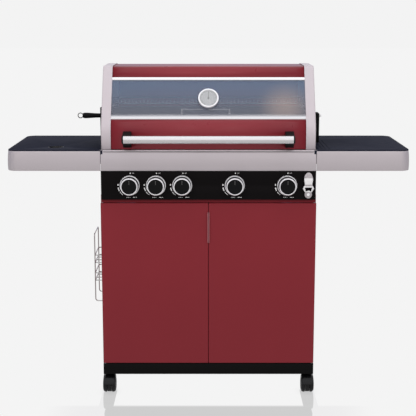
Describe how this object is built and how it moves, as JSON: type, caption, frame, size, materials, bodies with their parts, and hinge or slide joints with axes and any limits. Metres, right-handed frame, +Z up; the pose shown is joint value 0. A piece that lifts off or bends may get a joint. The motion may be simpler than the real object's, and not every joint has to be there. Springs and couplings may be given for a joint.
{
  "type": "gas barbecue grill",
  "caption": "Trolley gas barbecue with a leaning glass-fronted lid, rotisserie spit, control knobs, side shelves and a door-fronted cabinet on swivel casters.",
  "frame": {"origin": "on the floor, under the middle of the whole object's box", "axes": "+X to the right as seen from the front, +Y towards the back, +Z up"},
  "size_m": [1.41, 0.521, 1.185],
  "materials": {
    "red_paint": "satin metallic",
    "black_paint": "satin",
    "shelf_paint": "fine-textured satin",
    "silver_paint": "satin metallic",
    "enamel": "gloss enamel",
    "cast_iron": "matt enamel",
    "stainless": "brushed",
    "zinc_steel": "dull zinc plated",
    "chrome": "polished",
    "brass": "turned",
    "glass": "tinted tempered",
    "black_plastic": "fine matt",
    "wheel_plastic": "satin",
    "aluminium": "drawn"
  },
  "bodies": {
    "trolley": {"base_tray": "black_paint", "side_panel_left": "red_paint", "side_panel_right": "red_paint", "back_panel": "zinc_steel", "front_rail": "red_paint", "door_hinge_pins": "zinc_steel", "firebox": "enamel", "tube_burners": "stainless", "flame_tamers": "stainless", "cooking_grates": "cast_iron", "warming_rack": "chrome", "rear_burner": "stainless", "gas_manifold": "zinc_steel", "gas_valves": "brass", "control_panel": "black_paint", "knob_bezels": "chrome", "bottle_opener": "chrome", "center_fascia": "silver_paint", "shelf_left": "shelf_paint", "shelf_right": "shelf_paint", "fascia_left": "silver_paint", "fascia_right": "silver_paint", "lid_hinges": "zinc_steel", "spit_brackets": "black_paint", "spice_rack": "chrome"},
    "lid": {"lid_lower_panel": "red_paint", "lid_top_panel": "red_paint", "lid_glass": "glass", "lid_trims": "chrome", "lid_end_caps": "silver_paint", "lid_handle": "stainless", "handle_brackets": "black_plastic", "thermometer": "stainless"},
    "left_door": {"door_left": "red_paint", "door_pull_left": "stainless"},
    "right_door": {"door_right": "red_paint", "door_pull_right": "stainless"},
    "spit": {"spit_rod": "stainless", "spit_handle": "black_plastic", "spit_forks": "stainless"},
    "grease_drawer": {"grease_tray": "zinc_steel", "grease_cup": "aluminium"},
    "stem_1": {"valve_stem_1": "brass"},
    "knob_1": {"knob_1": "chrome"},
    "stem_2": {"valve_stem_2": "brass"},
    "knob_2": {"knob_2": "chrome"},
    "stem_3": {"valve_stem_3": "brass"},
    "knob_3": {"knob_3": "chrome"},
    "stem_4": {"valve_stem_4": "brass"},
    "knob_4": {"knob_4": "chrome"},
    "stem_5": {"valve_stem_5": "brass"},
    "knob_5": {"knob_5": "chrome"},
    "caster_1": {"caster_hood_1": "black_plastic"},
    "wheels_1": {"caster_wheels_1": "wheel_plastic"},
    "caster_2": {"caster_hood_2": "black_plastic"},
    "wheels_2": {"caster_wheels_2": "wheel_plastic"},
    "caster_3": {"caster_hood_3": "black_plastic"},
    "wheels_3": {"caster_wheels_3": "wheel_plastic"},
    "caster_4": {"caster_hood_4": "black_plastic"},
    "wheels_4": {"caster_wheels_4": "wheel_plastic"}
  },
  "joints": [
    {"name": "lid_hinge", "type": "hinge", "parent": "trolley", "child": "lid", "pos_m": [0, 0.2515, 1.018], "axis": [-1, 0, 0], "range_deg": [0, 95]},
    {"name": "left_door_hinge", "type": "hinge", "parent": "trolley", "child": "left_door", "pos_m": [-0.3755, -0.174, 0.4125], "axis": [0, 0, -1], "range_deg": [0, 110]},
    {"name": "right_door_hinge", "type": "hinge", "parent": "trolley", "child": "right_door", "pos_m": [0.3755, -0.174, 0.4125], "axis": [0, 0, 1], "range_deg": [0, 110]},
    {"name": "spit_spin", "type": "hinge", "parent": "trolley", "child": "spit", "pos_m": [0, 0.015, 0.99905], "axis": [1, 0, 0], "continuous": true},
    {"name": "grease_drawer_slide", "type": "slide", "parent": "trolley", "child": "grease_drawer", "axis": [0, 1, 0], "range_m": [0, 0.25]},
    {"name": "knob_1_turn", "type": "hinge", "parent": "trolley", "child": "stem_1", "pos_m": [-0.276, -0.2, 0.774], "axis": [0, -1, 0], "range_deg": [-180, 0]},
    {"name": "knob_1_push", "type": "slide", "parent": "stem_1", "child": "knob_1", "axis": [0, 1, 0], "range_m": [0, 0.004], "stiffness_N_per_m": 800},
    {"name": "knob_2_turn", "type": "hinge", "parent": "trolley", "child": "stem_2", "pos_m": [-0.184, -0.2, 0.774], "axis": [0, -1, 0], "range_deg": [-180, 0]},
    {"name": "knob_2_push", "type": "slide", "parent": "stem_2", "child": "knob_2", "axis": [0, 1, 0], "range_m": [0, 0.004], "stiffness_N_per_m": 800},
    {"name": "knob_3_turn", "type": "hinge", "parent": "trolley", "child": "stem_3", "pos_m": [-0.092, -0.2, 0.774], "axis": [0, -1, 0], "range_deg": [-180, 0]},
    {"name": "knob_3_push", "type": "slide", "parent": "stem_3", "child": "knob_3", "axis": [0, 1, 0], "range_m": [0, 0.004], "stiffness_N_per_m": 800},
    {"name": "knob_4_turn", "type": "hinge", "parent": "trolley", "child": "stem_4", "pos_m": [0.092, -0.2, 0.774], "axis": [0, -1, 0], "range_deg": [-180, 0]},
    {"name": "knob_4_push", "type": "slide", "parent": "stem_4", "child": "knob_4", "axis": [0, 1, 0], "range_m": [0, 0.004], "stiffness_N_per_m": 800},
    {"name": "knob_5_turn", "type": "hinge", "parent": "trolley", "child": "stem_5", "pos_m": [0.276, -0.2, 0.774], "axis": [0, -1, 0], "range_deg": [-180, 0]},
    {"name": "knob_5_push", "type": "slide", "parent": "stem_5", "child": "knob_5", "axis": [0, 1, 0], "range_m": [0, 0.004], "stiffness_N_per_m": 800},
    {"name": "caster_1_swivel", "type": "hinge", "parent": "trolley", "child": "caster_1", "pos_m": [-0.362, -0.139, 0.07], "axis": [0, 0, 1], "continuous": true},
    {"name": "caster_1_roll", "type": "hinge", "parent": "caster_1", "child": "wheels_1", "pos_m": [-0.362, -0.157, 0.03], "axis": [1, 0, 0], "continuous": true},
    {"name": "caster_2_swivel", "type": "hinge", "parent": "trolley", "child": "caster_2", "pos_m": [0.362, -0.139, 0.07], "axis": [0, 0, 1], "continuous": true},
    {"name": "caster_2_roll", "type": "hinge", "parent": "caster_2", "child": "wheels_2", "pos_m": [0.362, -0.157, 0.03], "axis": [1, 0, 0], "continuous": true},
    {"name": "caster_3_swivel", "type": "hinge", "parent": "trolley", "child": "caster_3", "pos_m": [-0.362, 0.16, 0.07], "axis": [0, 0, 1], "continuous": true},
    {"name": "caster_3_roll", "type": "hinge", "parent": "caster_3", "child": "wheels_3", "pos_m": [-0.362, 0.142, 0.03], "axis": [1, 0, 0], "continuous": true},
    {"name": "caster_4_swivel", "type": "hinge", "parent": "trolley", "child": "caster_4", "pos_m": [0.362, 0.16, 0.07], "axis": [0, 0, 1], "continuous": true},
    {"name": "caster_4_roll", "type": "hinge", "parent": "caster_4", "child": "wheels_4", "pos_m": [0.362, 0.142, 0.03], "axis": [1, 0, 0], "continuous": true}
  ]
}
